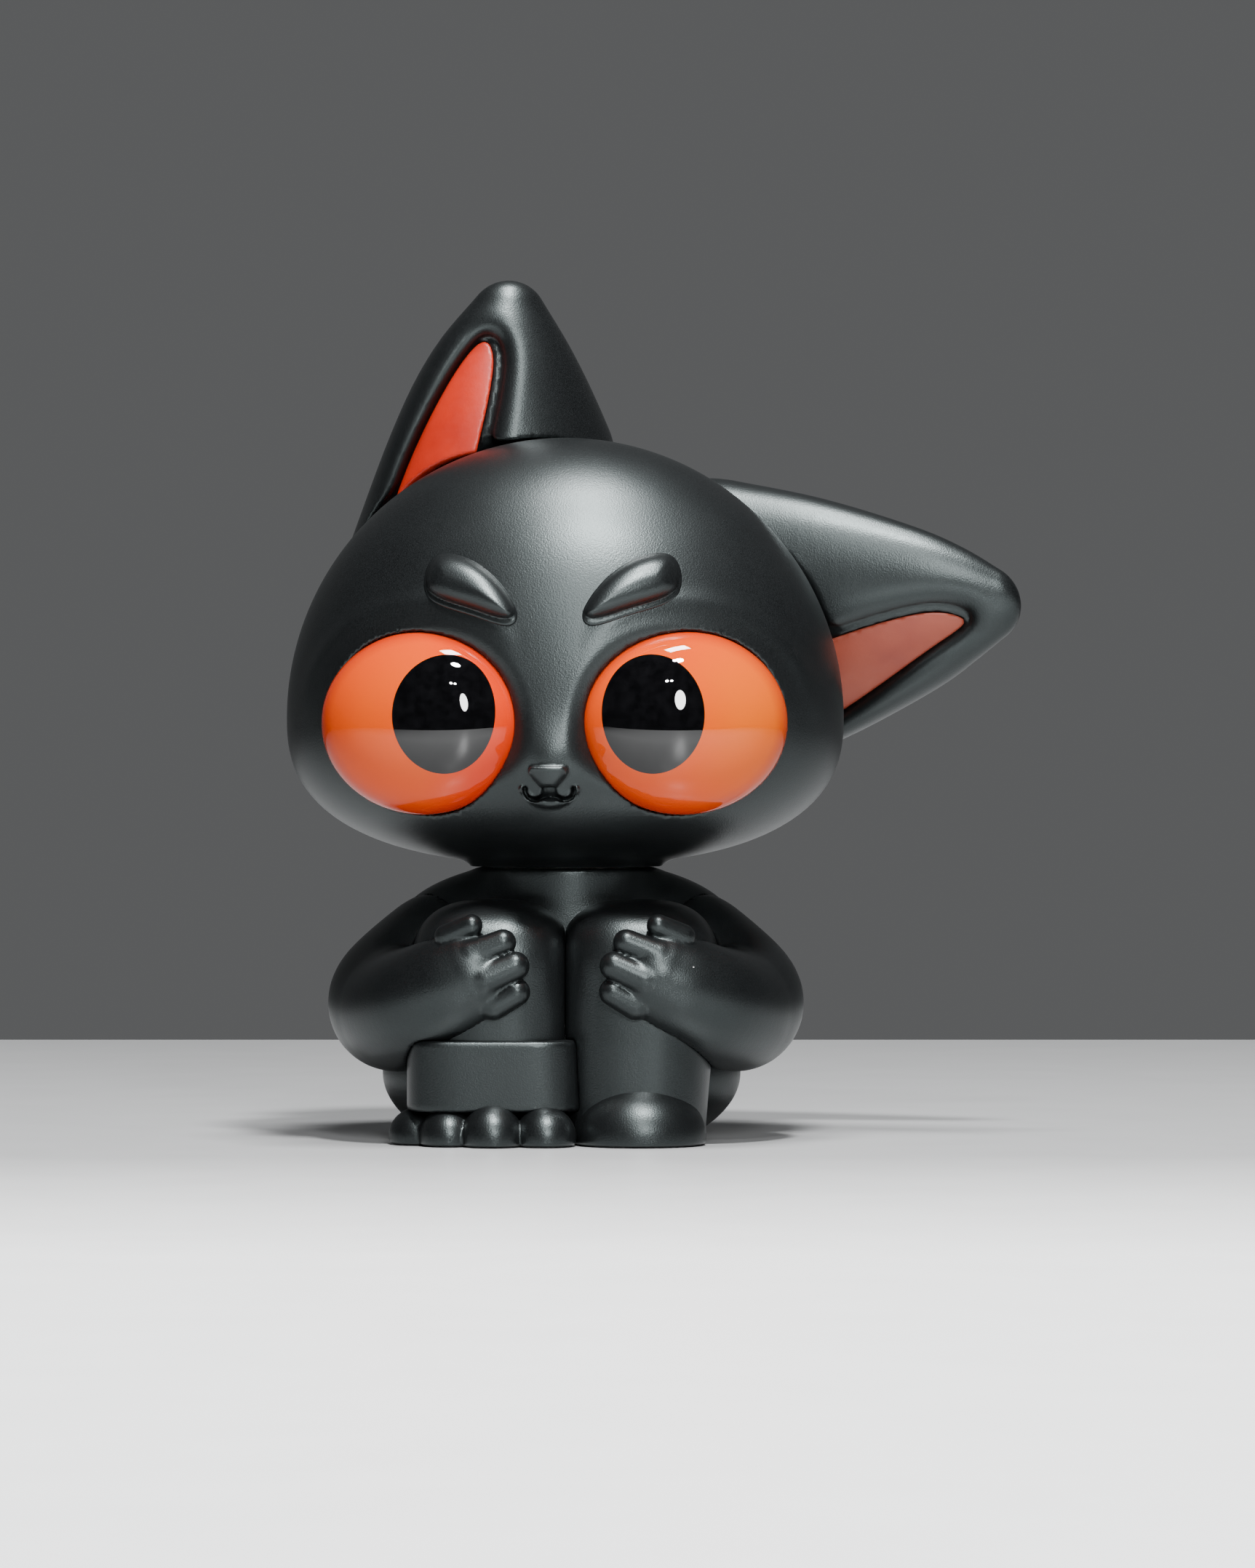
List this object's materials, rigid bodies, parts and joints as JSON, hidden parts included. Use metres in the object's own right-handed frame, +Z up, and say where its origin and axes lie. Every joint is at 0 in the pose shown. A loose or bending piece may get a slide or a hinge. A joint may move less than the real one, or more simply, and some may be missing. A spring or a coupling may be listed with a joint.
{
  "type": "vinyl art toy",
  "caption": "Seated black cat figurine with big orange eyes; the head and both ears turn on pins, and it stands on its feet and rump.",
  "frame": {"origin": "on the ground under the neck's axis, which the head turns about", "axes": "+Z up along the neck's axis, -Y to the figure's front, +X to the figure's left"},
  "size_m": [0.1127, 0.0724, 0.1309],
  "materials": {
    "vinyl": "satin sprayed black with a fine speckle",
    "eye_orange": "clear-coated gloss",
    "pupil_black": "clear-coated gloss",
    "ear_orange": "matt sprayed paint",
    "nylon": "natural moulded nylon"
  },
  "bodies": {
    "body": {"torso": "vinyl", "neck_post": "nylon", "neck_cap": "nylon", "leg_right": "vinyl", "leg_left": "vinyl", "trouser_cuff": "vinyl", "toed_paw": "vinyl", "smooth_foot": "vinyl", "arm_right": "vinyl", "arm_left": "vinyl", "tail": "vinyl"},
    "head": {"head_front": "vinyl", "head_back": "vinyl", "neck_bush": "nylon", "eye_right": "eye_orange", "eye_left": "eye_orange", "pupil_right": "pupil_black", "pupil_left": "pupil_black", "ear_socket_right": "nylon", "ear_socket_left": "nylon", "brow_right": "vinyl", "brow_left": "vinyl"},
    "right_ear": {"ear_right": "vinyl", "ear_inlay_right": "ear_orange", "ear_pin_right": "nylon", "ear_clip_right": "nylon"},
    "left_ear": {"ear_left": "vinyl", "ear_inlay_left": "ear_orange", "ear_pin_left": "nylon", "ear_clip_left": "nylon"}
  },
  "joints": [
    {"name": "head_turn", "type": "hinge", "parent": "body", "child": "head", "pos_m": [0, 0, 0.0413], "axis": [0, 0, 1], "continuous": true},
    {"name": "right_ear_turn", "type": "hinge", "parent": "head", "child": "right_ear", "pos_m": [-0.01137, 0.02372, 0.0814], "axis": [0.1654, -0.9383, -0.3038], "range_deg": [-4, 60]},
    {"name": "left_ear_turn", "type": "hinge", "parent": "head", "child": "left_ear", "pos_m": [0.01456, 0.02191, 0.0814], "axis": [-0.2943, -0.9061, -0.3038], "range_deg": [-32, 8]}
  ]
}
